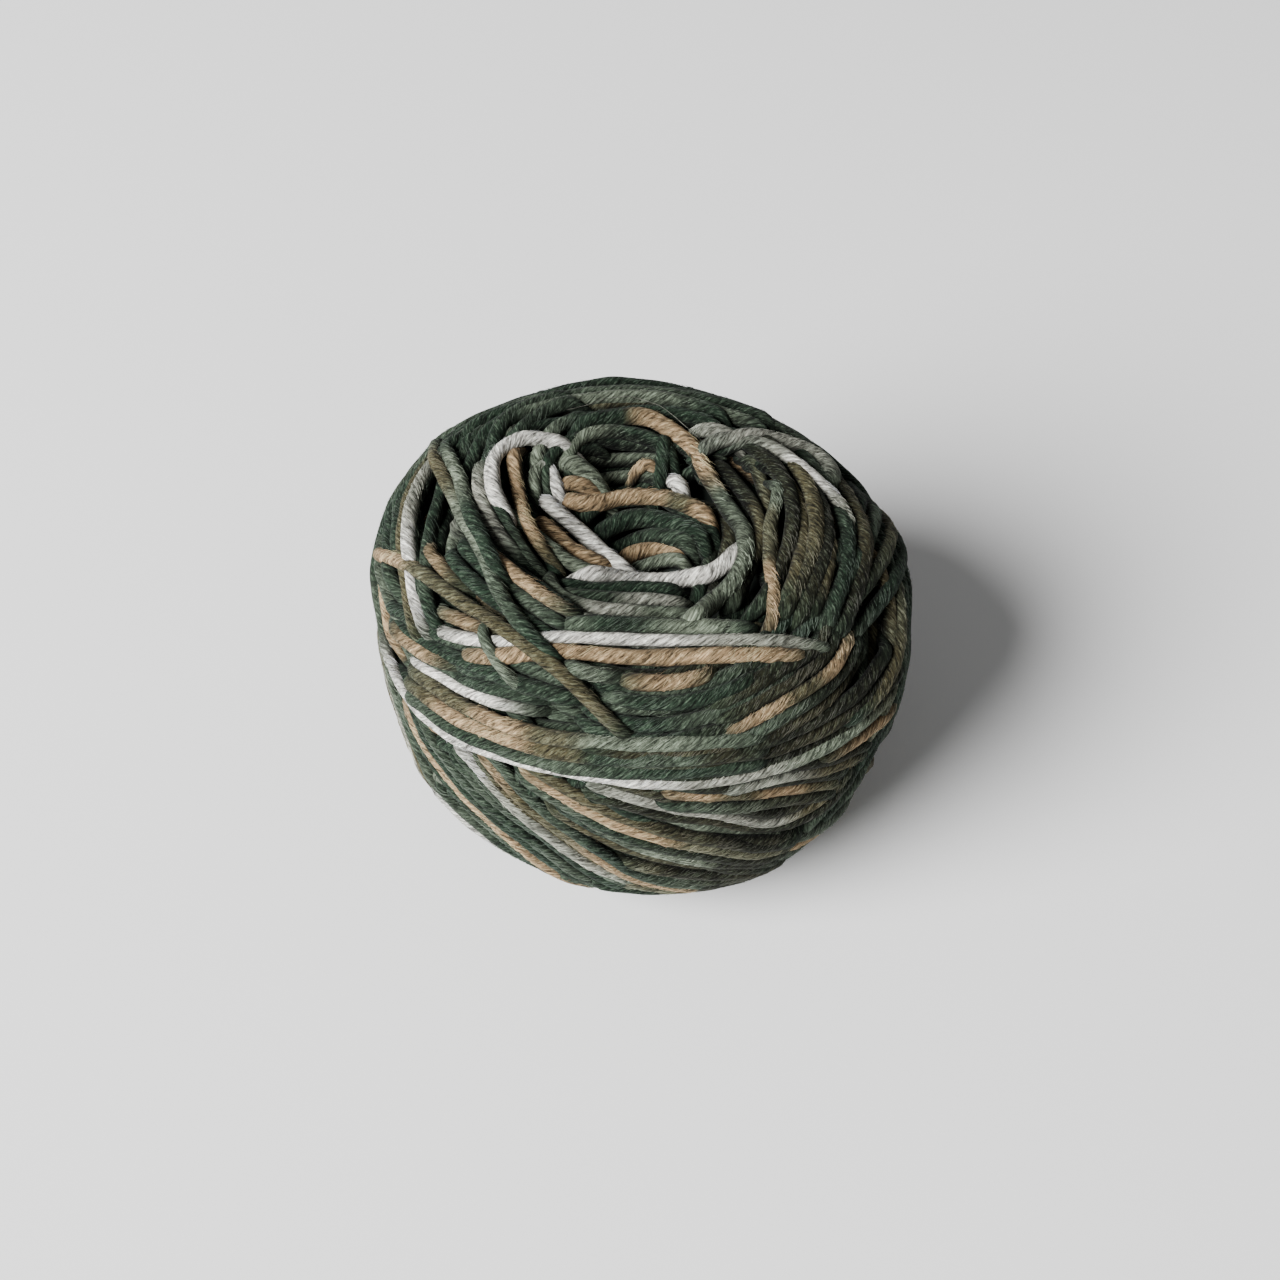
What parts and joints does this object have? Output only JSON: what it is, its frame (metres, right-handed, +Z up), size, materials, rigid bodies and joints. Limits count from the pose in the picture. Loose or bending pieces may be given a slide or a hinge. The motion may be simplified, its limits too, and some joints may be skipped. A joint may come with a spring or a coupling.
{
  "type": "ball of knitting yarn",
  "caption": "Squat hand-wound ball of soft variegated knitting yarn with a dished, open-middle top and a small flat foot.",
  "frame": {"origin": "middle of the flat foot that the ball rests on", "axes": "+Z up through the dish in the top; +X to the right and +Y to the back as the ball is seen from its front; the ball is longest close to X"},
  "size_m": [0.1191, 0.1116, 0.0914],
  "materials": {
    "yarn": "soft plied spun yarn, matt with a faint sheen, dyed in long runs of forest green, sage, olive, tan and off-white"
  },
  "bodies": {
    "root": {"yarn_ball": "yarn"}
  },
  "joints": []
}
